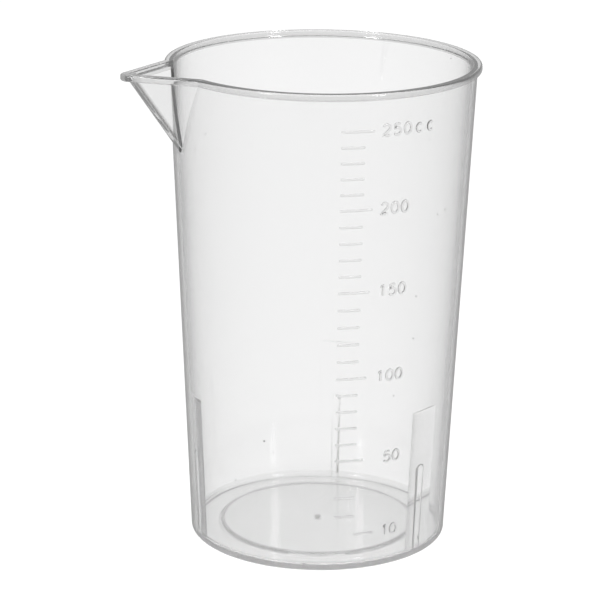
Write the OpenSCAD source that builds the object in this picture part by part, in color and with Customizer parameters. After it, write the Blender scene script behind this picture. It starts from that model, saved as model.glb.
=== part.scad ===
/* [Side wall] */
// Height from the table to the top of the rim
cup_height = 105; // [88:1:130]
// Outer diameter of the wall, carried down to the table
foot_diameter = 56; // [46:1:68]
// Draft of the side wall, in degrees from upright
wall_draft = 2.6; // [1.5:0.1:5]
// Thickness of the side wall
wall = 1; // [0.7:0.05:1.4]

/* [Floor] */
// Thickness of the floor
floor_thickness = 1; // [0.7:0.05:1.6]
// Height of the hollow under the raised middle of the floor
floor_rise = 0.6; // [0.3:0.05:1.2]
// Width of the ring that stands on the table, with the slope to the middle
foot_ring_width = 7; // [5:0.25:9]
// Width of the slope between the raised middle and the ring
floor_slope = 1; // [0.5:0.1:2]
// Fillet inside, where the wall meets the floor
floor_fillet = 1; // [0.5:0.1:2]
// Rounding of the outer edge at the table
foot_round = 0.5; // [0.2:0.1:0.8]
// Diameter of the gate mark under the middle of the floor
gate_diameter = 1.6; // [1:0.1:3]
// Height of the gate mark
gate_height = 0.25; // [0.1:0.05:0.28]

/* [Rim and lip] */
// How far the rim's bead stands out from the wall
bead_overhang = 0.9; // [0.5:0.05:1.6]
// Height of the bead
bead_height = 1.4; // [1.2:0.05:2.5]
// Rounding of the bead's outer edges
bead_round = 0.45; // [0.2:0.05:0.6]
// Distance from the cup's axis to the point where the lip's sides meet
lip_reach = 44.9; // [40:0.5:56]
// Width of the lip where it leaves the wall, at the rim
lip_width = 21; // [16:0.5:26]
// Height of the lip, from its foot on the wall to the top of the rim
lip_height = 19; // [12:0.5:26]
// Inside radius along the lip's keel
keel_radius = 0.4; // [0.2:0.1:1.5]

/* [Stacking stops] */
// Number of stacking pads and ribs inside the wall
stop_count = 3; // [2:1:4]
// Width of the flat face of each pad
pad_width = 7.8; // [6:0.1:10]
// Thickness of each pad at its two upright edges
pad_edge = 0.1; // [0.05:0.05:0.4]
// Height of the pads' top edge above the table
pad_top = 33.4; // [28:0.5:45]
// Width of the rib on each pad
rib_width = 1.8; // [1.2:0.1:3]
// How far each rib stands out from its pad
rib_depth = 0.5; // [0.3:0.05:1]
// Height of the ribs' round ends above the table
rib_top = 20.8; // [14:0.2:26]

/* [Scale] */
// Height of the lowest mark, for 10 cc
first_mark = 8.2; // [6:0.1:12]
// Distance from the top of the rim down to the highest mark, for 250 cc
last_mark_drop = 7.9; // [5:0.1:14]
// Direction of the marks' left ends about the axis, in degrees
scale_start = -104.8; // [-120:0.1:-90]
// Turn from there to the left end of the lowest mark, which is set over towards its number
first_mark_turn = 8.9; // [0:0.1:12]
// Turn taken up by a short mark, in degrees
short_mark_turn = 9; // [6:0.5:12]
// Turn taken up by a long mark, in degrees
long_mark_turn = 12.5; // [10:0.5:18]
// Height of a mark's foot on the wall
mark_height = 0.5; // [0.3:0.05:0.8]
// How far the marks stand out from the wall
mark_relief = 0.25; // [0.15:0.05:0.5]

/* [Hidden] */
$fn = 96;
fine = 360;
stops = [for (i = [0 : stop_count - 1]) i];
volumes = [10 : 10 : 250];

clear_plastic = [0.86, 0.88, 0.89, 0.45];
slack = 1;

// Radii of the wall, outside and inside, at height z
foot_radius = foot_diameter / 2;
function outer_r(z) = foot_radius + z * tan(wall_draft);
function inner_r(z) = outer_r(z) - wall;

// Heights of the floor: the ring's top face, the middle's top face and the joint with the wall
ring_top = floor_thickness;
middle_top = floor_rise + floor_thickness;
wall_foot = ring_top + floor_fillet;
middle_r = foot_radius - foot_ring_width;
slope_r = middle_r + floor_slope;

// The scale is read off the cup, so its steps are even only between two neighbours in this table.
// Each pair is a volume in cc and its share of the way from the first mark to the last.
scale_table = [[10, 0], [50, 0.192], [100, 0.4], [150, 0.613], [200, 0.813], [250, 1]];
last_mark = cup_height - last_mark_drop;
function mark_z(cc) = first_mark + (last_mark - first_mark) * lookup(cc, scale_table);
function mark_start(cc) = scale_start + (cc == volumes[0] ? first_mark_turn : 0);
function mark_turn(cc) = cc % 50 == 0 ? long_mark_turn : short_mark_turn;

// The lip is a rounded V that runs up a leaning keel. The keel starts inside the wall.
bead_foot = cup_height - bead_height;
root_y = lip_width / 2;
root_x = sqrt(pow(outer_r(cup_height), 2) - pow(root_y, 2));
lip_foot_z = cup_height - lip_height;
keel_lean = atan2(lip_reach - outer_r(lip_foot_z), lip_height);
plan_half_angle = atan2(root_y, lip_reach - root_x);
section_half_angle = atan2(tan(plan_half_angle), cos(keel_lean));
keel_outer_radius = keel_radius + wall;
keel_offset = keel_outer_radius / sin(section_half_angle);
keel_start = 4 * wall / sin(keel_lean);
keel_length = lip_height / cos(keel_lean) + keel_start + 4 * bead_height;
lip_depth = (lip_reach - root_x / 2) * cos(keel_lean);
crossing_angle = 5;

// The bead turns the lip's point about the middle of the keel's rounding, at the rim
tip_offset = keel_offset / cos(keel_lean);
tip_x = lip_reach - tip_offset;
tip_radius = tip_offset * sin(plan_half_angle);

// The pads' flat faces lie parallel to the wall, this far in from it
pad_depth = pad_edge + inner_r(pad_top) - sqrt(pow(inner_r(pad_top), 2) - pow(pad_width / 2, 2));
function stop_angle(i) = 180 + i * 360 / stop_count;

// Centre of a circle of radius r that touches the wall's inside and the height z below it
function fillet_x(z, r) = inner_r(z + r) - r / cos(wall_draft);
// Centre of a circle of radius r that touches the wall's outside and the table
function foot_round_x(r) = outer_r(r) - r / cos(wall_draft);

// Half section of the space inside the cup, from the floor up to height top
module interior_section(top) {
    difference() {
        polygon([
            [0, middle_top], [middle_r, middle_top], [slope_r, ring_top],
            [inner_r(ring_top), ring_top], [inner_r(top), top], [0, top]
        ]);
        floor_fillet_section();
    }
}

// Half section of the fillet between wall and floor
module floor_fillet_section() {
    x = fillet_x(ring_top, floor_fillet);
    touch_x = x + floor_fillet * cos(wall_draft);
    touch_z = wall_foot - floor_fillet * sin(wall_draft);
    difference() {
        polygon([[x, ring_top], [inner_r(ring_top), ring_top], [touch_x, touch_z], [x, wall_foot]]);
        translate([x, wall_foot]) circle(floor_fillet);
    }
}

// Half section of what the rounding takes off the outer edge at the table
module foot_round_section() {
    x = foot_round_x(foot_round);
    touch_x = x + foot_round * cos(wall_draft);
    touch_z = foot_round - foot_round * sin(wall_draft);
    difference() {
        polygon([[x, -slack], [outer_r(0) + slack, -slack], [touch_x + slack, touch_z],
            [touch_x, touch_z], [x, foot_round]]);
        translate([x, foot_round]) circle(foot_round);
    }
}

// Solid cone inside the wall's face that lies inset from the outside, between two heights
module cone_inside(inset, from, to) {
    rotate_extrude()
        polygon([[0, from], [outer_r(from) - inset, from], [outer_r(to) - inset, to], [0, to]]);
}

// Section of the lip across its keel, with the sharp point at the origin and the cup's inside towards +X.
// The rounding is a hair too large, so that it crosses the flat sides and doesn't just touch them.
module lip_section(inset) {
    r = keel_outer_radius - inset;
    touch_x = keel_offset - r * sin(section_half_angle);
    touch_y = r * cos(section_half_angle);
    end_x = lip_depth + inset;
    end_y = (end_x - inset / sin(section_half_angle)) * tan(section_half_angle);
    translate([keel_offset, 0]) circle(r / cos(crossing_angle));
    polygon([[touch_x, touch_y], [touch_x, -touch_y], [end_x, -end_y], [end_x, end_y]]);
}

// Extrudes its children, a section across the lip's keel, along the keel to above the rim
module along_keel() {
    translate([-outer_r(lip_foot_z), 0, lip_foot_z])
        rotate([0, -keel_lean, 0])
            translate([0, 0, -keel_start])
                linear_extrude(keel_length) children();
}

// Section of the bead, from depth inside the wall's face to its rounded outer edge
module bead_section(depth) {
    translate([-depth, 0]) square([depth + bead_overhang - bead_round, bead_height]);
    translate([-depth, bead_round])
        square([depth + bead_overhang, bead_height - 2 * bead_round]);
    for (z = [bead_round, bead_height - bead_round])
        translate([bead_overhang - bead_round, z]) circle(bead_round);
}

// Bead along the lip's side towards +Y and on round its point, about the middle of the keel's rounding
module lip_bead() {
    rotate([0, 0, plan_half_angle]) {
        translate([0, tip_radius, 0])
            rotate([90, 0, 90])
                linear_extrude(tip_x * cos(plan_half_angle)) bead_section(wall + bead_height);
        rotate([0, 0, 90])
            rotate_extrude(angle = 90)
                translate([tip_radius, 0]) bead_section(tip_radius - keel_radius / 2);
    }
}

// Places its children on the flat face of pad i, with +X outwards and +Z up along the wall
module on_pad(i) {
    rotate([0, 0, stop_angle(i)])
        translate([inner_r(0) - pad_depth, 0, 0])
            rotate([0, wall_draft, 0]) children();
}

// Tapered wall from the floor's fillet to the rim, open where the lip leaves it
module side_wall() {
    color(clear_plastic) difference() {
        rotate_extrude() polygon([
            [inner_r(wall_foot), wall_foot], [outer_r(wall_foot), wall_foot],
            [outer_r(cup_height), cup_height], [inner_r(cup_height), cup_height]
        ]);
        along_keel() lip_section(0);
    }
}

// Ring that stands on the table, with the slope to the floor's middle and the fillet to the wall
module foot_ring() {
    color(clear_plastic) rotate_extrude() {
        difference() {
            polygon([
                [middle_r, floor_rise], [slope_r, 0], [outer_r(0), 0], [outer_r(wall_foot), wall_foot],
                [inner_r(wall_foot), wall_foot], [inner_r(ring_top), ring_top],
                [slope_r, ring_top], [middle_r, middle_top]
            ]);
            foot_round_section();
        }
        floor_fillet_section();
    }
}

// Raised middle of the floor
module floor_disc() {
    color(clear_plastic) translate([0, 0, floor_rise]) cylinder(r = middle_r, h = floor_thickness);
}

// Stub that the moulding gate leaves under the floor
module gate_mark() {
    color(clear_plastic) translate([0, 0, floor_rise - gate_height])
        cylinder(d = gate_diameter, h = gate_height);
}

// Bead that stands out round the rim and along both sides of the lip
module rim_bead() {
    color(clear_plastic) difference() {
        union() {
            translate([0, 0, bead_foot])
                rotate_extrude() translate([outer_r(cup_height), 0]) bead_section(wall);
            translate([-tip_x, 0, bead_foot]) {
                lip_bead();
                mirror([0, 1, 0]) lip_bead();
            }
        }
        cone_inside(0, bead_foot - slack, cup_height + slack);
        along_keel() lip_section(0);
    }
}

// Pouring lip: two flat sides that meet in a rounded keel, level with the rim at the top
module pouring_lip() {
    color(clear_plastic) difference() {
        along_keel() difference() {
            lip_section(0);
            lip_section(wall);
        }
        cone_inside(wall, -slack, cup_height + keel_length);
        translate([-2 * lip_reach, -lip_reach, cup_height])
            cube([4 * lip_reach, 2 * lip_reach, keel_length]);
    }
}

// Flat pad inside the wall that keeps stacked cups from jamming
module stacking_pad(i) {
    color(clear_plastic) intersection() {
        rotate_extrude($fn = fine) interior_section(pad_top);
        on_pad(i) translate([0, -pad_width / 2, -slack]) cube([foot_radius, pad_width, 2 * pad_top]);
    }
}

// Upright rib with a round end on the middle of each pad
module stacking_rib(i) {
    straight = rib_top - rib_width / 2;
    color(clear_plastic) intersection() {
        rotate_extrude() interior_section(cup_height);
        on_pad(i) rotate([90, 0, -90]) linear_extrude(rib_depth) {
            translate([-rib_width / 2, -slack]) square([rib_width, straight + slack]);
            translate([0, straight]) circle(d = rib_width);
        }
    }
}

// One raised mark of the scale, for a volume in cc, with sloping upper and lower sides
module scale_mark(cc) {
    z = mark_z(cc);
    foot = mark_height / 2;
    crest = mark_height / 4;
    color(clear_plastic) rotate([0, 0, mark_start(cc)])
        rotate_extrude(angle = mark_turn(cc))
            polygon([
                [outer_r(z - foot), z - foot], [outer_r(z) + mark_relief, z - crest],
                [outer_r(z) + mark_relief, z + crest], [outer_r(z + foot), z + foot]
            ]);
}

side_wall();
foot_ring();
floor_disc();
gate_mark();
rim_bead();
pouring_lip();
for (i = stops) {
    stacking_pad(i);
    stacking_rib(i);
}
for (cc = volumes) {
    scale_mark(cc);
}
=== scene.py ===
"""Clear plastic resin mixing cup with a pouring lip and a raised scale, in a plain studio."""
import math

import bmesh
import bpy
from mathutils import Matrix, Vector


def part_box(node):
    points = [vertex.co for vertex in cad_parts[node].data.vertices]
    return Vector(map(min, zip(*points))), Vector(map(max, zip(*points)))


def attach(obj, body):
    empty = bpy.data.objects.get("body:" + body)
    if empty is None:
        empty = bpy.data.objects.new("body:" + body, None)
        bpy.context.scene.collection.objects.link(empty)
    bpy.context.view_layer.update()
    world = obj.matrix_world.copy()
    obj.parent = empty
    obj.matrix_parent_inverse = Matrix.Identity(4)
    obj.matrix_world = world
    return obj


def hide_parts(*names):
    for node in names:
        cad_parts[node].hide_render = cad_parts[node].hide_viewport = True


bl_info = {
    "name": "Resin Mixing Cup",
    "version": (1, 0, 0),
    "blender": (4, 5, 0),
    "location": "View3D > Sidebar > Mixing Cup",
    "description": "Builds a clear plastic mixing cup, its raised scale and a plain studio",
    "category": "Add Mesh",
}

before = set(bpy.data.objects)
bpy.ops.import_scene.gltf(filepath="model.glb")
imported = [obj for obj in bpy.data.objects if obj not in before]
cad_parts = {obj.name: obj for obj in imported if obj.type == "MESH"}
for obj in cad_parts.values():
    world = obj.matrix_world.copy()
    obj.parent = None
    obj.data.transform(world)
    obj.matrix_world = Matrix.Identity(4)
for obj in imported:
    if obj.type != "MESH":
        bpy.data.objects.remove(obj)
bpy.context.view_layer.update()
NODES = sorted(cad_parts)
MM = 0.001

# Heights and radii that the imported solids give
RIM_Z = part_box("side_wall")[1].z
RIM_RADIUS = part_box("side_wall")[1].x
WALL_FOOT_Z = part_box("side_wall")[0].z
WALL_FOOT_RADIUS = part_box("foot_ring")[1].x
BEAD_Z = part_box("rim_bead")[0].z
BEAD_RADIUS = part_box("rim_bead")[1].x
MIDDLE_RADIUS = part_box("floor_disc")[1].x
MIDDLE_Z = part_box("floor_disc")[1].z
MIDDLE_FOOT_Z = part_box("floor_disc")[0].z
GATE_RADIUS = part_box("gate_mark")[1].x
GATE_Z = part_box("gate_mark")[0].z
PAD_TOP_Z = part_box("stacking_pad_1")[1].z
RIB_TOP_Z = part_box("stacking_rib_1")[1].z
STOP_COUNT = sum(name.startswith("stacking_pad_") for name in NODES)

DRAFT = math.atan2(RIM_RADIUS - WALL_FOOT_RADIUS, RIM_Z - WALL_FOOT_Z)


# Settings


class CupSettings(bpy.types.PropertyGroup):
    """Sizes of the cup's wall, floor and rim."""

    wall: bpy.props.FloatProperty(
        name="Wall", description="Thickness of wall and floor", default=1.0 * MM, unit="LENGTH")
    slope_width: bpy.props.FloatProperty(
        name="Floor slope", description="Width of the slope round the raised middle of the floor",
        default=1.0 * MM, unit="LENGTH")
    floor_fillet: bpy.props.FloatProperty(
        name="Floor fillet", description="Fillet inside, between wall and floor",
        default=1.0 * MM, unit="LENGTH")
    foot_round: bpy.props.FloatProperty(
        name="Foot rounding", description="Rounding of the outer edge at the table",
        default=0.5 * MM, unit="LENGTH")
    bead_round: bpy.props.FloatProperty(
        name="Bead rounding", description="Rounding of the bead's outer edges",
        default=0.45 * MM, unit="LENGTH")
    rim_round: bpy.props.FloatProperty(
        name="Rim rounding", description="Rounding of the rim's inner edge",
        default=0.3 * MM, unit="LENGTH")


class LipSettings(bpy.types.PropertyGroup):
    """Sizes of the pouring lip."""

    reach: bpy.props.FloatProperty(
        name="Reach", description="Distance from the axis to the point where the lip's sides meet",
        default=44.9 * MM, unit="LENGTH")
    width: bpy.props.FloatProperty(
        name="Width", description="Width where the lip leaves the wall, at the rim",
        default=21.0 * MM, unit="LENGTH")
    height: bpy.props.FloatProperty(
        name="Height", description="Height from the lip's foot on the wall to the rim",
        default=19.0 * MM, unit="LENGTH")
    keel_radius: bpy.props.FloatProperty(
        name="Keel radius", description="Inside radius along the lip's keel",
        default=0.4 * MM, unit="LENGTH")


class StopSettings(bpy.types.PropertyGroup):
    """Sizes of the stacking pads and ribs inside the wall."""

    pad_width: bpy.props.FloatProperty(
        name="Pad width", description="Width of each pad's flat face",
        default=7.8 * MM, unit="LENGTH")
    pad_edge: bpy.props.FloatProperty(
        name="Pad edge", description="Thickness of each pad at its upright edges",
        default=0.1 * MM, unit="LENGTH")
    rib_width: bpy.props.FloatProperty(
        name="Rib width", description="Width of the rib on each pad",
        default=1.8 * MM, unit="LENGTH")
    rib_depth: bpy.props.FloatProperty(
        name="Rib depth", description="How far each rib stands out from its pad",
        default=0.5 * MM, unit="LENGTH")
    pad_round: bpy.props.FloatProperty(
        name="Pad rounding", description="Rounding of the edges of each pad's flat face",
        default=0.08 * MM, unit="LENGTH")
    rib_round: bpy.props.FloatProperty(
        name="Rib rounding", description="Rounding of the edges of each rib's face",
        default=0.45 * MM, unit="LENGTH")
    root: bpy.props.FloatProperty(
        name="Root", description="How far pads and ribs are let into the wall and the floor",
        default=0.3 * MM, unit="LENGTH")


class ScaleSettings(bpy.types.PropertyGroup):
    """Sizes of the raised lines of the scale."""

    line_radius: bpy.props.FloatProperty(
        name="Line radius", description="Radius of a mark's round ridge",
        default=0.3 * MM, unit="LENGTH")
    stroke_radius: bpy.props.FloatProperty(
        name="Stroke radius", description="Radius of a number's round strokes",
        default=0.28 * MM, unit="LENGTH")
    sunk: bpy.props.FloatProperty(
        name="Sunk", description="How far the middle of a ridge lies inside the wall's face",
        default=0.05 * MM, unit="LENGTH")
    digit_height: bpy.props.FloatProperty(
        name="Digit height",
        description="Height of the numbers between the middles of their strokes",
        default=2.3 * MM, unit="LENGTH")
    digit_pitch: bpy.props.FloatProperty(
        name="Digit pitch", description="Turn about the axis from one digit to the next",
        default=math.radians(4.35), unit="ROTATION")
    number_start: bpy.props.FloatProperty(
        name="Number start",
        description="Distance round the wall from the marks' left ends to a three-digit number",
        default=8.8 * MM, unit="LENGTH")


class PlasticSettings(bpy.types.PropertyGroup):
    """Look of the clear plastic."""

    tint: bpy.props.FloatVectorProperty(
        name="Tint", description="Colour of the clear plastic", subtype="COLOR", size=3,
        default=(0.93, 0.93, 0.93), min=0.0, max=1.0)
    density: bpy.props.FloatProperty(
        name="Density",
        description="How fast the plastic swallows light, per metre",
        default=150.0, min=0.0)
    milk: bpy.props.FloatVectorProperty(
        name="Milk", description="Colour of the plastic's haze", subtype="COLOR", size=3,
        default=(0.42, 0.42, 0.42), min=0.0, max=1.0)
    inner_milk: bpy.props.FloatVectorProperty(
        name="Inner milk",
        description="Colour of the haze for light that is caught inside the plastic",
        subtype="COLOR", size=3, default=(0.62, 0.62, 0.62), min=0.0, max=1.0)
    haze: bpy.props.FloatProperty(
        name="Haze",
        description="How fast the haze grows where one looks along a wall and through more of it",
        default=0.038, min=0.0, max=1.0, subtype="FACTOR")
    thick_haze: bpy.props.FloatProperty(
        name="Thick haze", description="Further share of the light that the thick rim scatters",
        default=0.36, min=0.0, max=1.0, subtype="FACTOR")
    wall_haze: bpy.props.FloatProperty(
        name="Wall haze", description="Share of the light that the wall scatters inside",
        default=0.025, min=0.0, max=1.0, subtype="FACTOR")
    floor_haze: bpy.props.FloatProperty(
        name="Floor haze",
        description="Further share of the light that the floor and the foot scatter inside",
        default=0.22, min=0.0, max=1.0, subtype="FACTOR")
    gate_haze: bpy.props.FloatProperty(
        name="Gate haze",
        description="Further share of the light that the mark of the gate scatters",
        default=0.3, min=0.0, max=1.0, subtype="FACTOR")
    relief_haze: bpy.props.FloatProperty(
        name="Relief haze",
        description="Further share of the light that the scale's raised lines scatter",
        default=0.17, min=0.0, max=1.0, subtype="FACTOR")
    # Painted shade: darkness put into the colour of each rib's steeper side
    rib_shade: bpy.props.FloatProperty(
        name="Rib shade", description="How dark one side of each rib is, where it is steeper",
        default=1.0, min=0.0, max=1.0, subtype="FACTOR")
    rib_depth: bpy.props.FloatProperty(
        name="Rib depth",
        description="Depth from the wall's outside at which only the ribs are left",
        default=1.45 * MM, unit="LENGTH")
    pad_haze: bpy.props.FloatProperty(
        name="Pad haze", description="How fast the haze grows on pads that light meets at a slant",
        default=2.5, min=0.0)
    stop_depth: bpy.props.FloatProperty(
        name="Stop depth",
        description="Depth from the wall's outside at which only pads and ribs are left",
        default=1.05 * MM, unit="LENGTH")
    keel_haze: bpy.props.FloatProperty(
        name="Keel haze",
        description="Further share of the light that the keel of the lip scatters",
        default=0.5, min=0.0, max=1.0, subtype="FACTOR")
    # Painted shade: darkness put into the colour of the corner inside the lip's keel
    keel_shade: bpy.props.FloatProperty(
        name="Keel shade", description="How dark the tight corner inside the lip's keel is",
        default=1.0, min=0.0, max=1.0, subtype="FACTOR")
    disc_haze: bpy.props.FloatProperty(
        name="Disc haze",
        description="Further share of the light that the floor's raised middle scatters",
        default=0.12, min=0.0, max=1.0, subtype="FACTOR")
    up_share: bpy.props.FloatProperty(
        name="Upward share",
        description="How much less of the haze shows on faces that look up, to the light",
        default=0.6, min=0.0, max=1.0, subtype="FACTOR")
    step_haze: bpy.props.FloatProperty(
        name="Step haze",
        description="Further share of the light that the step round the floor's middle scatters",
        default=0.6, min=0.0, max=1.0, subtype="FACTOR")
    # Painted shade: darkness put into the colour of the step round the floor's middle
    step_shade: bpy.props.FloatProperty(
        name="Step shade", description="How dark the step round the floor's middle is",
        default=0.7, min=0.0, max=1.0, subtype="FACTOR")


class StudioSettings(bpy.types.PropertyGroup):
    """Camera and light."""

    distance: bpy.props.FloatProperty(
        name="Distance", description="Level distance from the camera to the cup's axis",
        default=549.1 * MM, unit="LENGTH")
    height: bpy.props.FloatProperty(
        name="Height", description="Height of the camera above the table",
        default=221.3 * MM, unit="LENGTH")
    turn: bpy.props.FloatProperty(
        name="Turn",
        description="Turn of the camera about the cup, from straight in front of the scale's side",
        default=math.radians(-21.5), unit="ROTATION")
    pitch: bpy.props.FloatProperty(
        name="Pitch", description="How far down the camera looks", default=0.2993, unit="ROTATION")
    roll: bpy.props.FloatProperty(
        name="Roll",
        description="How far the camera is tipped on its side",
        default=0.0132, unit="ROTATION")
    lens: bpy.props.FloatProperty(
        name="Lens",
        description="Focal length in millimetres for a 36 mm wide sensor",
        default=158.4)
    shift: bpy.props.FloatProperty(
        name="Shift",
        description="Sideways shift of the lens, in widths of the picture",
        default=-0.0338)
    surround: bpy.props.FloatProperty(
        name="Surround",
        description="Brightness of the room around the white backdrop",
        default=0.38, min=0.0)
    lamp_power: bpy.props.FloatProperty(
        name="Lamp power",
        description="Power of each soft lamp in front, in watts",
        default=2.4, min=0.0)
    top_power: bpy.props.FloatProperty(
        name="Top power",
        description="Power of the soft lamp above, in watts",
        default=12.0, min=0.0)


# Node trees


class Wire:
    """A node's output, to be used in an expression."""

    def __init__(self, graph, socket):
        self.graph = graph
        self.socket = socket

    def math(self, operation, other=0.0, swap=False):
        """This output and another value or output through a Math node."""
        first, second = (other, self) if swap else (self, other)
        return self.graph.node("ShaderNodeMath", {"operation": operation}, {0: first, 1: second})

    def __add__(self, other):
        return self.math("ADD", other)

    def __radd__(self, other):
        return self.math("ADD", other, swap=True)

    def __sub__(self, other):
        return self.math("SUBTRACT", other)

    def __rsub__(self, other):
        return self.math("SUBTRACT", other, swap=True)

    def __mul__(self, other):
        return self.math("MULTIPLY", other)

    def __rmul__(self, other):
        return self.math("MULTIPLY", other, swap=True)

    def __truediv__(self, other):
        return self.math("DIVIDE", other)

    def __rtruediv__(self, other):
        return self.math("DIVIDE", other, swap=True)

    def __gt__(self, other):
        return self.math("GREATER_THAN", other)

    def __lt__(self, other):
        return self.math("LESS_THAN", other)


class Graph:
    """A node tree in which one method makes every node."""

    def __init__(self, tree):
        self.tree = tree

    def node(self, kind, settings=None, inputs=None, output=0):
        """Make a node, set it up, feed its sockets with values or wires, and give one output."""
        made = self.tree.nodes.new(kind)
        for name, value in (settings or {}).items():
            setattr(made, name, value)
        for name, value in (inputs or {}).items():
            self.feed(made.inputs[name], value)
        return Wire(self, made.outputs[output]) if made.outputs else made

    def feed(self, socket, value):
        """Link a wire to a socket, or set the socket's own value."""
        if isinstance(value, Wire):
            self.tree.links.new(value.socket, socket)
        elif value is not None:
            socket.default_value = value

    def coordinate(self, vector, axis):
        """One coordinate of a vector's wire."""
        return self.node("ShaderNodeSeparateXYZ", inputs={"Vector": vector}, output=axis)


def emptied(owner):
    """The graph of a material's or a world's nodes, with no node in it."""
    owner.use_nodes = True
    owner.node_tree.nodes.clear()
    return Graph(owner.node_tree)


def geometry_tree(name, inputs):
    """A geometry node tree with a Geometry input and output and these inputs, and their wires."""
    tree = bpy.data.node_groups.new(name, "GeometryNodeTree")
    tree.interface.new_socket("Geometry", in_out="INPUT", socket_type="NodeSocketGeometry")
    tree.interface.new_socket("Geometry", in_out="OUTPUT", socket_type="NodeSocketGeometry")
    for label, kind in inputs.items():
        tree.interface.new_socket(label, in_out="INPUT", socket_type=kind)
    graph = Graph(tree)
    entry = graph.node("NodeGroupInput").socket.node
    return graph, {socket.name: Wire(graph, socket) for socket in entry.outputs if socket.name}


def finish_tree(graph, geometry, material):
    """End a geometry tree in Realize Instances, Set Material and the group's output."""
    real = graph.node("GeometryNodeRealizeInstances", inputs={"Geometry": geometry})
    painted = graph.node("GeometryNodeSetMaterial", inputs={
        "Geometry": real, "Material": material})
    graph.node("NodeGroupOutput", inputs={"Geometry": painted})
    return graph.tree


def grown(source, tree, values, name):
    """The plain mesh object that a geometry tree makes of a source object, in its stead."""
    modifier = source.modifiers.new(tree.name, "NODES")
    modifier.node_group = tree
    for item in tree.interface.items_tree:
        if item.item_type == "SOCKET" and item.in_out == "INPUT" and item.name in values:
            modifier[item.identifier] = values[item.name]
    return plain_mesh(source, name)


def plain_mesh(source, name):
    """A new object with the mesh that a source object shows with its modifiers, in its stead."""
    evaluated = source.evaluated_get(bpy.context.evaluated_depsgraph_get())
    mesh = bpy.data.meshes.new_from_object(evaluated)
    bpy.data.objects.remove(source)
    mesh.name = name
    return placed(name, mesh)


def placed(name, data):
    """A new object in the scene's collection."""
    made = bpy.data.objects.new(name, data)
    bpy.context.scene.collection.objects.link(made)
    return made


def piece(name):
    """The piece that an earlier operator made."""
    made = bpy.data.objects.get(name)
    if made is None:
        raise RuntimeError(f"{name} isn't there yet: build it first")
    return made


# Materials


WHITE = (1.0, 1.0, 1.0, 1.0)

# Optics of the clear plastic, and the colour of its dark specks and of the shade painted on it
REFRACTION = 1.49
LEAST_ROUGHNESS = 0.03
CLOUD_ROUGHNESS = 0.04
MOST_HAZE = 0.95
SHADOW_CLEARNESS = 0.8
SPECK_AND_SHADE_COLOUR = (0.16, 0.155, 0.15, 1.0)

# Flow lines in the surface, drawn out along the cup's height, and clouds in the haze
FLOW_STRETCH = (1.0, 1.0, 0.12)
FLOW_SCALE = 120.0
FLOW_DETAIL = 2.0
FLOW_STRENGTH = 0.02
FLOW_DEPTH = 0.2 * MM
CLOUD_SCALE = 45.0
CLOUD_DETAIL = 4.0
CLOUD_LEAST = 0.9
CLOUD_SWING = 0.2

# Specks: cells to a metre, a speck's radius in cells, and how high a cell's value has to be
SPECK_SCALE = 400.0
SPECK_RADIUS = 0.09
SPECK_RARITY = 0.9

# Growth of the haze with the slant of view, where 1 is straight on and 0 along the surface
GRAZING_LIMIT = 0.016
GRAZING_OFFSET = 0.3
SLANT_START = 0.85

# Edges of the zones that differ in haze or shade
RIM_MARGIN = 0.2 * MM
LIP_START = 0.8
LIP_STANDOFF = 0.5 * MM
RELIEF_MARGIN = 0.05 * MM
STOP_MARGIN = 0.6 * MM
GATE_CORE = 0.8
STEP_OFFSET = 0.1 * MM
STEP_HALF_WIDTH = 0.5 * MM
KEEL_HALF_WIDTH = 1.4 * MM

# Painted shade in the corner inside the keel: how fast it fades, where that starts and how far a
# face looks up.
# Then how fast the shade painted on the ribs' sides grows as they turn
CORNER_WIDTH = 0.65 * MM
CORNER_FLAT = 1.6
CORNER_RISE = 0.05
RIB_CONTRAST = 2.0

# Brightness of the table and the room behind it, and the greys that carry the cup's shadow
CAMERA_GLOW = 0.82
THROUGH_GLOW = 0.72
MIRRORED_GLOW = 0.3
THROUGH_WHITE = 0.9
SHADOWED_GREY = (0.25, 0.25, 0.25, 1.0)
PAPER_GREY = (0.9, 0.9, 0.9, 1.0)


class Spot:
    """Wires that tell where on the cup a point of its surface lies and which way it faces."""

    def __init__(self, graph):
        self.place = graph.node("ShaderNodeTexCoord", output="Object")
        self.inside = graph.node("ShaderNodeNewGeometry", output="Backfacing")
        self.along = graph.coordinate(self.place, "X")
        self.across = graph.coordinate(self.place, "Y").math("ABSOLUTE")
        self.height = graph.coordinate(self.place, "Z")
        level = graph.node(
            "ShaderNodeVectorMath", {"operation": "MULTIPLY"}, {0: self.place, 1: (1.0, 1.0, 0.0)})
        self.from_axis = graph.node(
            "ShaderNodeVectorMath", {"operation": "LENGTH"}, {0: level}, output="Value")
        facing = graph.node("ShaderNodeNewGeometry", output="Normal")
        outwards = 1.0 - 2.0 * self.inside
        self.upward = graph.coordinate(facing, "Z") * outwards
        crossed = graph.node(
            "ShaderNodeVectorMath", {"operation": "CROSS_PRODUCT"}, {0: level, 1: facing})
        self.turned = graph.coordinate(crossed, "Z") / self.from_axis * outwards
        slant = graph.node("ShaderNodeLayerWeight", inputs={"Blend": 0.5}, output="Facing")
        self.straight = 1.0 - slant


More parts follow.
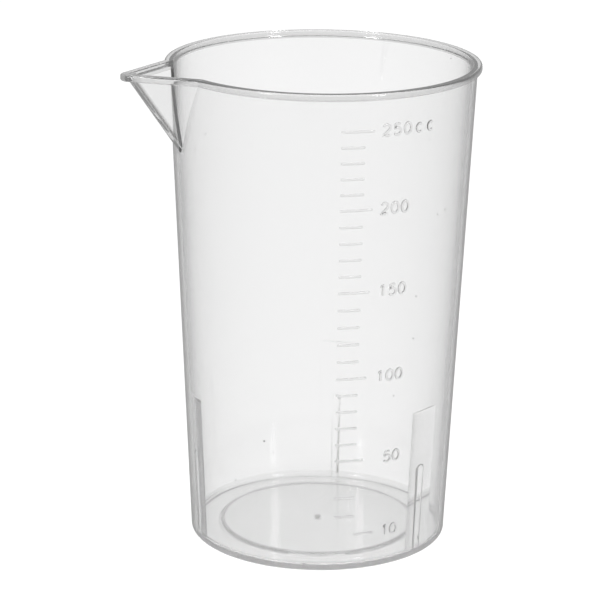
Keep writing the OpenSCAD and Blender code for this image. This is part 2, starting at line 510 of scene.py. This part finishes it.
class Zones:
    """Wires that are 1 on a feature of the cup and 0 elsewhere. The step's fades at its sides."""

    def __init__(self, spot, look):
        wall_face = RIM_RADIUS - (RIM_Z - spot.height) * math.tan(DRAFT)
        self.floor = spot.height < WALL_FOOT_Z
        self.rim = spot.height > BEAD_Z - RIM_MARGIN
        beside_lip = spot.along > -LIP_START * RIM_RADIUS
        self.lip = (1.0 - beside_lip) * (spot.from_axis > wall_face + LIP_STANDOFF)
        self.relief = (
            (spot.from_axis > wall_face + RELIEF_MARGIN) * (1.0 - self.rim) * beside_lip)
        beside_floor = (1.0 - self.floor) * (spot.height < PAD_TOP_Z - STOP_MARGIN)
        self.rib = (spot.from_axis < wall_face - look.rib_depth) * beside_floor
        self.pad = (spot.from_axis < wall_face - look.stop_depth) * beside_floor - self.rib
        self.disc = (spot.from_axis < MIDDLE_RADIUS) * self.floor
        self.gate = (spot.from_axis < GATE_RADIUS) * self.floor
        self.gate_core = (spot.from_axis < GATE_CORE * GATE_RADIUS) * self.floor
        # Band round the floor's middle, for its haze and for the shade painted on it
        from_step = (spot.from_axis - (MIDDLE_RADIUS + STEP_OFFSET)).math("ABSOLUTE")
        self.step = (1.0 - from_step / STEP_HALF_WIDTH).math("MAXIMUM", 0.0) * self.floor


def darkness(graph, spot, zones, look):
    """Dark specks and the gate's middle, and painted shade on the floor's step, ribs and keel."""
    cells = {"Vector": spot.place, "Scale": SPECK_SCALE}
    in_speck = graph.node("ShaderNodeTexVoronoi", inputs=cells, output="Distance") < SPECK_RADIUS
    picked = graph.node("ShaderNodeTexVoronoi", inputs=cells, output="Color") > SPECK_RARITY
    # Painted shade on the side of each rib that turns one way
    rib_flank_shade = zones.rib * (-RIB_CONTRAST * spot.turned).math("MAXIMUM", 0.0)
    # Painted shade in the tight corner inside the keel, on faces that look up
    corner_shade_falloff = (CORNER_FLAT - spot.across / CORNER_WIDTH).math("MAXIMUM", 0.0)
    painted_corner_shade = zones.lip * (1.0 - zones.rim) * corner_shade_falloff.math("MINIMUM", 1.0)
    looks_up = spot.upward > CORNER_RISE
    # Real specks and the gate's middle, then painted shade on the floor's step, the ribs' sides
    # and the keel's corner
    shade = in_speck * picked + zones.gate_core + zones.step * look.step_shade
    shade += rib_flank_shade * look.rib_shade + painted_corner_shade * looks_up * look.keel_shade
    return shade.math("MINIMUM", 1.0)


def haziness(spot, zones, cloud, look):
    """Share of the light that the plastic scatters, seen from outside it and from inside it."""
    grazing = 1.0 / (spot.straight * spot.straight + GRAZING_LIMIT) - GRAZING_OFFSET
    clouded = grazing * look.haze * (CLOUD_LEAST + CLOUD_SWING * cloud)
    from_above = 1.0 - look.up_share * spot.upward.math("MAXIMUM", 0.0)
    outer = (clouded + zones.rim * look.thick_haze) * from_above
    outer += zones.gate * look.gate_haze + zones.step * look.step_haze
    outer += zones.disc * look.disc_haze + zones.relief * look.relief_haze
    slanted = (SLANT_START - spot.straight).math("MAXIMUM", 0.0) * look.pad_haze
    inner = zones.floor * look.floor_haze + zones.pad * slanted + look.wall_haze
    outside_keel = zones.rim.math("MAXIMUM", spot.upward < 0.0)
    keel = zones.lip * (spot.across < KEEL_HALF_WIDTH) * outside_keel * look.keel_haze
    haze = outer * (1.0 - spot.inside) + inner * spot.inside + keel
    return haze.math("MINIMUM", MOST_HAZE)


def clear_polypropylene(look):
    """Clear plastic, faintly milky, with moulding flow lines, a few dark specks and painted shade.
    """
    material = bpy.data.materials.get("clear_polypropylene")
    if material:
        return material
    material = bpy.data.materials.new("clear_polypropylene")
    graph = emptied(material)
    spot = Spot(graph)
    zones = Zones(spot, look)
    drawn_out = graph.node("ShaderNodeMapping", inputs={
        "Vector": spot.place, "Scale": FLOW_STRETCH})
    flow = graph.node("ShaderNodeTexNoise", inputs={
        "Vector": drawn_out, "Scale": FLOW_SCALE, "Detail": FLOW_DETAIL})
    cloud = graph.node("ShaderNodeTexNoise", inputs={
        "Vector": spot.place, "Scale": CLOUD_SCALE, "Detail": CLOUD_DETAIL})
    # Base colour darkened at specks, and by painted shade at the step, the ribs' sides and the
    # keel's corner
    dark = darkness(graph, spot, zones, look)
    colour = graph.node("ShaderNodeMix", {"data_type": "RGBA"}, {
        "Factor": dark, "A": WHITE, "B": SPECK_AND_SHADE_COLOUR}, output="Result")
    unevenness = graph.node("ShaderNodeBump", inputs={
        "Strength": FLOW_STRENGTH, "Distance": FLOW_DEPTH, "Height": flow})
    plastic = graph.node("ShaderNodeBsdfPrincipled", inputs={
        "Base Color": colour, "Roughness": LEAST_ROUGHNESS + CLOUD_ROUGHNESS * cloud,
        "IOR": REFRACTION, "Transmission Weight": 1.0, "Normal": unevenness})
    milk = graph.node("ShaderNodeMixShader", inputs={
        0: spot.inside,
        1: graph.node("ShaderNodeBsdfDiffuse", inputs={"Color": (*look.milk, 1.0)}),
        2: graph.node("ShaderNodeBsdfTranslucent", inputs={"Color": (*look.inner_milk, 1.0)})})
    body = graph.node("ShaderNodeMixShader", inputs={
        0: haziness(spot, zones, cloud, look), 1: plastic, 2: milk})
    shadow = graph.node("ShaderNodeLightPath", output="Is Shadow Ray") * SHADOW_CLEARNESS
    clear = graph.node("ShaderNodeBsdfTransparent")
    lit = graph.node("ShaderNodeMixShader", inputs={0: shadow, 1: body, 2: clear})
    depth = graph.node("ShaderNodeVolumeAbsorption", inputs={
        "Color": (*look.tint, 1.0), "Density": look.density}, output="Volume")
    graph.node("ShaderNodeOutputMaterial", inputs={"Surface": lit, "Volume": depth})
    return material


def ray_kinds(graph):
    """Wires that are 1 for rays from the camera, rays through plastic and mirrored rays."""
    camera, through, glossy = (
        graph.node("ShaderNodeLightPath", output=name)
        for name in ("Is Camera Ray", "Is Transmission Ray", "Is Glossy Ray"))
    return camera, through, glossy * (1.0 - through)


def white_table():
    """White table that the camera sees as pure white, apart from the cup's shadow."""
    material = bpy.data.materials.new("white_table")
    graph = emptied(material)
    camera, through, mirrored = ray_kinds(graph)
    brightness = CAMERA_GLOW * camera + THROUGH_GLOW * through + MIRRORED_GLOW * mirrored
    glow = graph.node("ShaderNodeEmission", inputs={"Color": brightness, "Strength": 1.0})
    shadowed = graph.node("ShaderNodeBsdfDiffuse", inputs={"Color": SHADOWED_GREY})
    backdrop = graph.node("ShaderNodeAddShader", inputs={0: glow, 1: shadowed})
    paper = graph.node("ShaderNodeBsdfDiffuse", inputs={"Color": PAPER_GREY})
    mixed = graph.node("ShaderNodeMixShader", inputs={
        0: camera + through + mirrored, 1: paper, 2: backdrop})
    graph.node("ShaderNodeOutputMaterial", inputs={"Surface": mixed})
    return material


# Form of the cup


# Even steps between the cup's levels: round its edges, its rim's inner edge and its fillet, up the
# wall outside and inside to where the lip's levels begin, and from there to the rim
EDGE_STEPS = 6
RIM_STEPS = 5
FILLET_STEPS = 8
OUTER_WALL_STEPS = 43
INNER_WALL_STEPS = 40
LIP_STEPS = 44
LIP_LEVELS_Z = RIM_Z - 22 * MM

# Halvings in the search for the point where the lip meets the wall, and the gap that is merged
HALVINGS = 40
MERGE_DISTANCE = 0.0002 * MM


def steps(start, end, count):
    """Count even steps from start to end, with start itself left out."""
    return [start + (end - start) * i / count for i in range(1, count + 1)]


class CupForm:
    """Plan outlines of the cup at any height, worked out from the settings.

    An outline runs on the +Y side from the lip's tip to the back of the cup, and is then mirrored.
    Its points are (distance towards the lip, distance sideways).
    """

    ARC_STEPS = 8
    SIDE_STEPS = 6
    ROUND_STEPS = 120

    def __init__(self, cup, lip):
        self.wall = cup.wall
        half_width = lip.width / 2
        root = math.sqrt(RIM_RADIUS**2 - half_width**2)
        foot_z = RIM_Z - lip.height
        self.reach = lip.reach
        self.lean = math.atan2(lip.reach - self.wall_radius(foot_z), lip.height)
        self.half_angle = math.atan2(half_width, lip.reach - root)
        self.section_angle = math.atan2(math.tan(self.half_angle), math.cos(self.lean))
        self.keel_radius = lip.keel_radius + cup.wall

    def wall_radius(self, z):
        """Outer radius of the wall at a height."""
        return RIM_RADIUS + (z - RIM_Z) * math.tan(DRAFT)

    def at_height(self, z, inset=0.0, grow=0.0):
        """Outline of the wall and the lip at a height, inset from outside and grown in plan."""
        point = self.reach - (RIM_Z - z) * math.tan(self.lean)
        point -= inset / math.sin(self.section_angle) / math.cos(self.lean)
        keel = self.keel_radius - inset
        return self.outline(
            self.wall_radius(z) - inset + grow, point + grow / math.sin(self.half_angle),
            keel / math.cos(self.lean) + grow, keel + grow)

    def bead_at(self, out):
        """Outline of the bead, this far outside the wall at the rim."""
        keel = self.keel_radius * math.cos(self.half_angle) / math.cos(self.section_angle)
        return self.outline(
            RIM_RADIUS + out, self.reach + out / math.sin(self.half_angle), keel + out, keel + out)

    def circle(self, radius):
        """Outline without a lip."""
        return self.outline(radius, 0.0, 0.0, 0.0)

    def outline(self, radius, point, tip_long, tip_wide):
        """Half outline of a circle joined with a V whose point is rounded by an ellipse."""
        lip_side = self.lip_side(radius, point, tip_long, tip_wide)
        start = math.atan2(lip_side[-1][1], lip_side[-1][0])
        angles = steps(start, math.pi, self.ROUND_STEPS)
        return lip_side + [(radius * math.cos(a), radius * math.sin(a)) for a in angles]

    def lip_side(self, radius, point, tip_long, tip_wide):
        """Points from the lip's tip to where its side meets the circle."""
        count = self.ARC_STEPS + self.SIDE_STEPS + 1
        sine, cosine = math.sin(self.half_angle), math.cos(self.half_angle)
        centre = point - math.hypot(tip_long * sine, tip_wide * cosine) / sine

        def on_tip(turn):
            reach = math.hypot(tip_long * math.cos(turn), tip_wide * math.sin(turn))
            return (centre + tip_long**2 * math.cos(turn) / reach,
                    tip_wide**2 * math.sin(turn) / reach)

        if centre + tip_long <= radius:
            return [(radius, 0.0)] * count
        last = math.pi / 2 - self.half_angle
        low, high = 0.0, last
        joins_on_tip = math.hypot(*on_tip(last)) < radius
        for _ in range(HALVINGS if joins_on_tip else 0):
            middle = (low + high) / 2
            low, high = (middle, high) if math.hypot(*on_tip(middle)) > radius else (low, middle)
        tip = [on_tip(turn) for turn in [0.0] + steps(0.0, high, self.ARC_STEPS)]
        if joins_on_tip:
            return tip + [tip[-1]] * self.SIDE_STEPS
        slope = sine / cosine
        square = 1 + slope**2
        root = math.sqrt(radius**2 * square - (point * slope) ** 2)
        join = (point * slope**2 + root) / square
        side = steps(tip[-1][0], join, self.SIDE_STEPS)
        return tip + [(x, (point - x) * slope) for x in side]


def foot_levels(form, cup):
    """Outlines with their heights, from the middle of the underside round the foot's edge."""
    levels = [(form.circle(radius), z) for radius, z in (
        (0.0, GATE_Z), (GATE_RADIUS, GATE_Z), (GATE_RADIUS, MIDDLE_FOOT_Z),
        (MIDDLE_RADIUS, MIDDLE_FOOT_Z), (MIDDLE_RADIUS + cup.slope_width, 0.0))]
    edge = cup.foot_round
    foot_x = form.wall_radius(edge) - edge / math.cos(DRAFT)
    for turn in [math.pi / 2] + steps(math.pi / 2, DRAFT, EDGE_STEPS):
        levels.append((form.circle(foot_x + edge * math.cos(turn)), edge - edge * math.sin(turn)))
    return levels


def bead_levels(form, cup):
    """Outlines with their heights, from the bead's underside round its outer edges to its top."""
    overhang, edge = BEAD_RADIUS - RIM_RADIUS, cup.bead_round
    levels = []
    for turn in [0.0] + steps(0.0, math.pi / 2, EDGE_STEPS):
        z = BEAD_Z + edge * (1 - math.cos(turn))
        levels.append((form.bead_at(overhang - edge + edge * math.sin(turn)), z))
    for turn in [0.0] + steps(0.0, math.pi / 2, EDGE_STEPS):
        z = RIM_Z - edge + edge * math.sin(turn)
        levels.append((form.bead_at(overhang - edge + edge * math.cos(turn)), z))
    return levels


def inner_levels(form, cup):
    """Outlines with their heights, from the rim's inner edge down the inside to the middle."""
    levels = []
    for turn in [0.0] + steps(0.0, math.pi / 2, RIM_STEPS):
        z = RIM_Z - cup.rim_round * (1 - math.cos(turn))
        levels.append((form.at_height(z, cup.wall, cup.rim_round * (1 - math.sin(turn))), z))
    fillet = cup.floor_fillet
    fillet_z = cup.wall + fillet
    downwards = steps(RIM_Z - cup.rim_round, LIP_LEVELS_Z, LIP_STEPS)
    downwards += steps(LIP_LEVELS_Z, fillet_z, INNER_WALL_STEPS)
    levels += [(form.at_height(z, cup.wall), z) for z in downwards]
    fillet_x = form.wall_radius(fillet_z) - cup.wall - fillet / math.cos(DRAFT)
    for turn in steps(DRAFT, math.pi / 2, FILLET_STEPS):
        radius = fillet_x + fillet * math.cos(turn)
        levels.append((form.circle(radius), fillet_z - fillet * math.sin(turn)))
    return levels + [(form.circle(radius), z) for radius, z in (
        (MIDDLE_RADIUS + cup.slope_width, cup.wall), (MIDDLE_RADIUS, MIDDLE_Z), (0.0, MIDDLE_Z))]


def cup_levels(form, cup):
    """Outlines with their heights, from the underside up the outside and down the inside."""
    upwards = steps(cup.foot_round, LIP_LEVELS_Z, OUTER_WALL_STEPS)
    upwards += steps(LIP_LEVELS_Z, BEAD_Z, LIP_STEPS)
    outside = [(form.at_height(z), z) for z in upwards]
    return foot_levels(form, cup) + outside + bead_levels(form, cup) + inner_levels(form, cup)


def lofted(name, levels):
    """A closed mesh object through outlines that all have as many points."""
    mesh = bpy.data.meshes.new(name)
    shape = bmesh.new()
    rings = []
    for half, z in levels:
        whole = half + [(x, -y) for x, y in half[-2:0:-1]]
        rings.append([shape.verts.new((-x, y, z)) for x, y in whole])
    for lower, upper in zip(rings, rings[1:]):
        for i in range(len(lower)):
            shape.faces.new((lower[i - 1], lower[i], upper[i], upper[i - 1]))
    bmesh.ops.remove_doubles(shape, verts=shape.verts, dist=MERGE_DISTANCE)
    bmesh.ops.recalc_face_normals(shape, faces=shape.faces)
    shape.to_mesh(mesh)
    shape.free()
    return placed(name, mesh)


# Stacking stops


BEVEL_SEGMENTS = 4
RIB_END_STEPS = 12


def prism(shape, outline, near, far, rounding):
    """Add a closed prism to a mesh: an outline in Y and Z, between two distances along X.

    The edges of its near end are rounded.
    """
    ends = [[shape.verts.new((x, y, z)) for y, z in outline] for x in (near, far)]
    shape.faces.new(ends[0])
    shape.faces.new(reversed(ends[1]))
    for i in range(len(outline)):
        shape.faces.new((ends[0][i - 1], ends[1][i - 1], ends[1][i], ends[0][i]))
    edges = [edge for edge in shape.edges if all(vert in ends[0] for vert in edge.verts)]
    bmesh.ops.bevel(
        shape, geom=edges, offset=rounding, segments=BEVEL_SEGMENTS, profile=0.5, affect="EDGES")


def pad_depth(form, cup, stops):
    """How far in from the wall the pads' flat faces lie."""
    inner = form.wall_radius(PAD_TOP_Z) - cup.wall
    return stops.pad_edge + inner - math.sqrt(inner**2 - (stops.pad_width / 2) ** 2)


def pad_object(form, cup, stops):
    """One pad, let into the wall behind it, with X outwards."""
    shape = bmesh.new()
    depth, half = pad_depth(form, cup, stops), stops.pad_width / 2
    foot, top = cup.wall - stops.root, PAD_TOP_Z / math.cos(DRAFT)
    face = [(-half, foot), (half, foot), (half, top), (-half, top)]
    prism(shape, face, 0.0, depth + stops.root, stops.pad_round)
    return leaned("stacking_pad", shape, form, cup, depth)


def rib_object(form, cup, stops):
    """One rib with a round end, let into its pad, with X outwards."""
    shape = bmesh.new()
    half, foot = stops.rib_width / 2, cup.wall - stops.root
    turns = [0.0] + steps(0.0, math.pi, RIB_END_STEPS)
    straight = RIB_TOP_Z / math.cos(DRAFT) - half
    outline = [(-half, foot), (half, foot)]
    outline += [(half * math.cos(a), straight + half * math.sin(a)) for a in turns]
    prism(shape, outline, -stops.rib_depth, stops.root, stops.rib_round)
    return leaned("stacking_rib", shape, form, cup, pad_depth(form, cup, stops))


def leaned(name, shape, form, cup, depth):
    """Lean a shape along the wall's inside, at a depth from it, and make an object of it."""
    bmesh.ops.recalc_face_normals(shape, faces=shape.faces)
    inner = form.wall_radius(0.0) - cup.wall - depth
    leaning = Matrix.Translation((inner, 0, 0)) @ Matrix.Rotation(DRAFT, 4, "Y")
    bmesh.ops.transform(shape, matrix=leaning, verts=shape.verts)
    mesh = bpy.data.meshes.new(name)
    shape.to_mesh(mesh)
    shape.free()
    return placed(name, mesh)


def repeat_round_axis():
    """Tree that repeats its input round the Z axis."""
    graph, given = geometry_tree("repeat_round_axis", {
        "Count": "NodeSocketInt", "Start": "NodeSocketFloat", "Material": "NodeSocketMaterial"})
    points = graph.node("GeometryNodeMeshLine", inputs={
        "Count": given["Count"], "Offset": (0, 0, 0)})
    turn = given["Start"] + graph.node("GeometryNodeInputIndex") * (2 * math.pi) / given["Count"]
    facing = graph.node("ShaderNodeCombineXYZ", inputs={"Z": turn})
    copies = graph.node("GeometryNodeInstanceOnPoints", inputs={
        "Points": points, "Instance": given["Geometry"], "Rotation": facing})
    return finish_tree(graph, copies, given["Material"])


# Scale


def arc(x, y, across, up, start, end, count=24):
    """Points of an elliptical arc, from one angle to another in degrees."""
    turns = [math.radians(start + (end - start) * i / count) for i in range(count + 1)]
    return [(x + across * math.cos(a), y + up * math.sin(a)) for a in turns]


# Single strokes of the scale's figures, for a height of 1, and whether each is a closed loop
GLYPHS = {
    "0": (arc(0.34, 0.5, 0.34, 0.5, 0, 345, 23), True),
    "1": ([(0.14, 0.8), (0.4, 1.0), (0.4, 0.0)], False),
    "2": (arc(0.34, 0.7, 0.32, 0.3, 165, -35) + [(0.02, 0.0), (0.68, 0.0)], False),
    "5": ([(0.62, 1.0), (0.12, 1.0), (0.07, 0.56)]
          + arc(0.32, 0.33, 0.35, 0.33, 130, -150), False),
    "c": (arc(0.34, 0.38, 0.32, 0.38, 45, 315), False),
}
DIGIT_PLACES = 3
UNIT_GAP = 0.2
NUMBER_EVERY = 50

# Steps along a mark, sides of a ridge, and the spacing and least end of a ridge in its radii
MARK_STEPS = 12
RIDGE_SIDES = 16
RIDGE_STEP = 0.45
RIDGE_END = 0.3


class ScaleForm:
    """Places on the wall's outside for the raised lines of the scale."""

    def __init__(self, form, scale):
        self.form = form
        self.scale = scale

    def on_wall(self, turn, z):
        """Point on the wall, slightly inside its face, at an angle about the axis."""
        radius = self.form.wall_radius(z) - self.scale.sunk
        return Vector((radius * math.cos(turn), radius * math.sin(turn), z))

    def mark(self, volume):
        """Height of a mark and the angles of its ends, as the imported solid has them."""
        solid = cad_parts[f"mark_{volume}"].data
        turns = [math.atan2(v.co.y, v.co.x) for v in solid.vertices]
        lowest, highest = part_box(f"mark_{volume}")
        return (lowest.z + highest.z) / 2, min(turns), max(turns)

    def mark_path(self, volume):
        """Points along one mark."""
        z, start, end = self.mark(volume)
        return [self.on_wall(turn, z) for turn in [start] + steps(start, end, MARK_STEPS)]

    def glyph_path(self, glyph, turn, z):
        """Points along one figure, with its lower left corner at an angle and a height."""
        size = self.scale.digit_height
        points = []
        for across, up in GLYPHS[glyph][0]:
            height = z + up * size
            sideways = across * size / self.form.wall_radius(height)
            points.append(self.on_wall(turn + sideways, height))
        return points

    def number_paths(self, volume, unit):
        """Paths of a number in the last of three digits' places, and of its unit behind it."""
        middle = self.mark(volume)[0]
        z = middle - self.scale.digit_height / 2
        long_mark = volume // NUMBER_EVERY * NUMBER_EVERY or NUMBER_EVERY
        start = self.mark(long_mark)[1] + self.scale.number_start / self.form.wall_radius(middle)
        digits = str(volume)
        places = [DIGIT_PLACES - len(digits) + i for i in range(len(digits))]
        places += [DIGIT_PLACES + UNIT_GAP + (1 + UNIT_GAP) * i for i in range(len(unit))]
        pitch = self.scale.digit_pitch
        return [(self.glyph_path(glyph, start + place * pitch, z), GLYPHS[glyph][1])
                for glyph, place in zip(digits + unit, places)]


def curve_object(name, paths):
    """A curve object with one straight-edged spline for each path."""
    curve = bpy.data.curves.new(name, "CURVE")
    curve.dimensions = "3D"
    for points, closed in paths:
        spline = curve.splines.new("POLY")
        spline.points.add(len(points) - 1)
        for place, point in zip(spline.points, points):
            place.co = (*point, 1.0)
        spline.use_cyclic_u = closed
    return placed(name, curve)


def raised_lines():
    """Tree that makes a round ridge with round ends along each of its input's curves."""
    graph, given = geometry_tree("raised_lines", {
        "Radius": "NodeSocketFloat", "Sides": "NodeSocketInt", "Material": "NodeSocketMaterial"})
    fine = graph.node("GeometryNodeResampleCurve", {"mode": "LENGTH"}, {
        "Curve": given["Geometry"], "Length": given["Radius"] * RIDGE_STEP})
    along = graph.node("GeometryNodeSplineParameter", output="Length")
    share = graph.node("GeometryNodeSplineParameter", output="Factor")
    whole = graph.node("GeometryNodeSplineLength", output="Length")
    to_end = along.math("MINIMUM", whole * (1.0 - share)) / given["Radius"]
    inward = 1.0 - to_end.math("MINIMUM", 1.0)
    cap = (1.0 - inward * inward).math("SQRT").math("MAXIMUM", RIDGE_END)
    closed = graph.node("GeometryNodeInputSplineCyclic")
    ring = graph.node("GeometryNodeCurvePrimitiveCircle", inputs={
        "Resolution": given["Sides"], "Radius": given["Radius"]})
    ridge = graph.node("GeometryNodeCurveToMesh", inputs={
        "Curve": fine, "Profile Curve": ring, "Scale": cap.math("MAXIMUM", closed),
        "Fill Caps": True})
    return finish_tree(graph, ridge, given["Material"])


# Joining


SHARP_ANGLE = math.radians(28)


def joined(base, others, name):
    """The union of closed mesh objects as one plain mesh object."""
    for other in others:
        union = base.modifiers.new(other.name, "BOOLEAN")
        union.operation = "UNION"
        union.solver = "MANIFOLD"
        union.object = other
    whole = plain_mesh(base, name)
    for other in others:
        bpy.data.objects.remove(other)
    return whole


def shaded(target, name):
    """An object shaded smooth apart from its sharp edges, with its large faces kept flat."""
    target.data.polygons.foreach_set("use_smooth", [True] * len(target.data.polygons))
    target.data.set_sharp_from_angle(angle=SHARP_ANGLE)
    even = target.modifiers.new("even", "WEIGHTED_NORMAL")
    even.keep_sharp = True
    return plain_mesh(target, name)


# Operators


class CUP_OT_body(bpy.types.Operator):
    """Build the cup's wall, floor, rim and lip as one closed shell"""

    bl_idname = "mixing_cup.body"
    bl_label = "Cup Body"

    def execute(self, context):
        scene = context.scene
        lofted("cup_body", cup_levels(CupForm(scene.cup, scene.lip), scene.cup))
        return {"FINISHED"}


class CUP_OT_stops(bpy.types.Operator):
    """Build the pads and ribs that keep stacked cups apart"""

    bl_idname = "mixing_cup.stops"
    bl_label = "Stacking Stops"

    def execute(self, context):
        scene = context.scene
        form = CupForm(scene.cup, scene.lip)
        material = clear_polypropylene(scene.plastic)
        values = {"Count": STOP_COUNT, "Start": math.pi, "Material": material}
        tree = repeat_round_axis()
        grown(pad_object(form, scene.cup, scene.stops), tree, values, "stacking_pads")
        grown(rib_object(form, scene.cup, scene.stops), tree, values, "stacking_ribs")
        return {"FINISHED"}


class CUP_OT_scale(bpy.types.Operator):
    """Build the scale's raised marks and numbers on the wall"""

    bl_idname = "mixing_cup.scale"
    bl_label = "Scale"

    def execute(self, context):
        scene = context.scene
        settings = scene.volume_scale
        layout = ScaleForm(CupForm(scene.cup, scene.lip), settings)
        volumes = sorted(int(name.split("_")[1]) for name in NODES if name.startswith("mark_"))
        marks = [(layout.mark_path(volume), False) for volume in volumes]
        numbers = []
        for volume in [volumes[0]] + [v for v in volumes if v % NUMBER_EVERY == 0]:
            numbers += layout.number_paths(volume, "cc" if volume == volumes[-1] else "")
        tree = raised_lines()
        values = {"Sides": RIDGE_SIDES, "Material": clear_polypropylene(scene.plastic)}
        for name, paths, radius in (
                ("scale_marks", marks, settings.line_radius),
                ("scale_numbers", numbers, settings.stroke_radius)):
            grown(curve_object(name + "_paths", paths), tree, {**values, "Radius": radius}, name)
        return {"FINISHED"}


class CUP_OT_moulding(bpy.types.Operator):
    """Join the cup's parts into one seamless moulding, with no faces inside the clear plastic"""

    bl_idname = "mixing_cup.moulding"
    bl_label = "Moulding"

    def execute(self, context):
        names = ("stacking_pads", "stacking_ribs", "scale_marks", "scale_numbers")
        whole = joined(piece("cup_body"), [piece(name) for name in names], "moulding")
        if not whole.data.polygons:
            raise RuntimeError("the moulding's parts didn't join")
        cup = shaded(whole, "mixing_cup")
        cup.data.materials.clear()
        cup.data.materials.append(clear_polypropylene(context.scene.plastic))
        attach(cup, "root")
        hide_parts(*NODES)
        return {"FINISHED"}


# Studio


# Half the table's side, and how far under the cup's foot its top lies
TABLE_HALF = 4.0
TABLE_GAP = 0.05 * MM

# Places of the soft lamps, to the right of the cup, behind it and up as the camera sees it, and
# their widths and heights
FRONT_LAMPS = {"left_softbox": (-0.5, -0.55, 0.5), "right_softbox": (0.5, -0.55, 0.5)}
FRONT_LAMP_SIZE = (0.13, 0.6)
TOP_LAMP = (0.0, 0.6, 1.5)
TOP_LAMP_SIZE = (1.0, 1.0)

SENSOR_WIDTH = 36.0
CLIP_START = 0.01


def add_table():
    """A large white table top just under the cup's foot."""
    mesh = bpy.data.meshes.new("table")
    corners = [(-1, -1), (1, -1), (1, 1), (-1, 1)]
    mesh.from_pydata(
        [(x * TABLE_HALF, y * TABLE_HALF, -TABLE_GAP) for x, y in corners], [], [(0, 1, 2, 3)])
    mesh.materials.append(white_table())
    placed("table", mesh)


def add_world(surround):
    """White behind and beyond the cup, and a plain grey room for the light and for reflections."""
    world = bpy.data.worlds.new("studio")
    bpy.context.scene.world = world
    graph = emptied(world)
    camera, through, _ = ray_kinds(graph)
    white, room = (
        graph.node("ShaderNodeBackground", inputs={"Color": WHITE, "Strength": strength})
        for strength in (1.0, surround))
    both = graph.node("ShaderNodeMixShader", inputs={
        0: camera + THROUGH_WHITE * through, 1: room, 2: white})
    graph.node("ShaderNodeOutputWorld", inputs={"Surface": both})


def add_softbox(name, place, aim, size, power):
    """A soft lamp of a width and a height that looks at a point."""
    lamp = bpy.data.lights.new(name, "AREA")
    lamp.shape = "RECTANGLE"
    lamp.size, lamp.size_y = size
    lamp.energy = power
    made = placed(name, lamp)
    made.location = place
    made.rotation_euler = (Vector(aim) - Vector(place)).to_track_quat("-Z", "Y").to_euler()


def add_camera(studio):
    """The camera, at the height, angle and distance that the photograph was taken from."""
    turn = Matrix.Rotation(studio.turn, 3, "Z")
    pitch, roll = studio.pitch, studio.roll
    level = Vector((1, 0, 0))
    upward = Vector((0, math.sin(pitch), math.cos(pitch)))
    right = level * math.cos(roll) + upward * math.sin(roll)
    up = upward * math.cos(roll) - level * math.sin(roll)
    back = right.cross(up)
    axes = turn @ Matrix((right, up, back)).transposed()
    place = turn @ Vector((0, -studio.distance, studio.height))
    lens = bpy.data.cameras.new("camera")
    lens.sensor_width = SENSOR_WIDTH
    lens.lens = studio.lens
    lens.shift_x = studio.shift
    lens.clip_start = CLIP_START
    made = placed("camera", lens)
    made.matrix_world = Matrix.Translation(place) @ axes.to_4x4()
    bpy.context.scene.camera = made


class CUP_OT_studio(bpy.types.Operator):
    """Set up the white table, the lamps, the room and the camera"""

    bl_idname = "mixing_cup.studio"
    bl_label = "Studio"

    def execute(self, context):
        studio = context.scene.studio
        context.scene.view_settings.view_transform = "Standard"
        add_table()
        add_world(studio.surround)
        middle = (0.0, 0.0, RIM_Z / 2)
        turn = Matrix.Rotation(studio.turn, 3, "Z")
        for name, place in FRONT_LAMPS.items():
            add_softbox(name, turn @ Vector(place), middle, FRONT_LAMP_SIZE, studio.lamp_power)
        top = turn @ Vector(TOP_LAMP)
        add_softbox("top_softbox", top, middle, TOP_LAMP_SIZE, studio.top_power)
        add_camera(studio)
        return {"FINISHED"}


# Panel and registering


class CUP_PT_panel(bpy.types.Panel):
    """Buttons that build the cup and its studio"""

    bl_idname = "CUP_PT_panel"
    bl_label = "Mixing Cup"
    bl_space_type = "VIEW_3D"
    bl_region_type = "UI"
    bl_category = "Mixing Cup"

    def draw(self, context):
        for operator in OPERATORS:
            self.layout.operator(operator.bl_idname)
        for name in SETTINGS:
            box = self.layout.box()
            settings = getattr(context.scene, name)
            for field in settings.__annotations__:
                box.prop(settings, field)


SETTINGS = {
    "cup": CupSettings,
    "lip": LipSettings,
    "stops": StopSettings,
    "volume_scale": ScaleSettings,
    "plastic": PlasticSettings,
    "studio": StudioSettings,
}
OPERATORS = (CUP_OT_body, CUP_OT_stops, CUP_OT_scale, CUP_OT_moulding, CUP_OT_studio)


def register():
    """Make the settings, the operators and the panel known to Blender."""
    for kind in (*SETTINGS.values(), *OPERATORS, CUP_PT_panel):
        bpy.utils.register_class(kind)
    for name, kind in SETTINGS.items():
        setattr(bpy.types.Scene, name, bpy.props.PointerProperty(type=kind))


def unregister():
    """Take away what register added."""
    for name in SETTINGS:
        delattr(bpy.types.Scene, name)
    for kind in reversed((*SETTINGS.values(), *OPERATORS, CUP_PT_panel)):
        bpy.utils.unregister_class(kind)


def main():
    """Build the cup and its studio."""
    register()
    bpy.ops.mixing_cup.body()
    bpy.ops.mixing_cup.stops()
    bpy.ops.mixing_cup.scale()
    bpy.ops.mixing_cup.moulding()
    bpy.ops.mixing_cup.studio()


if __name__ == "__main__":
    main()
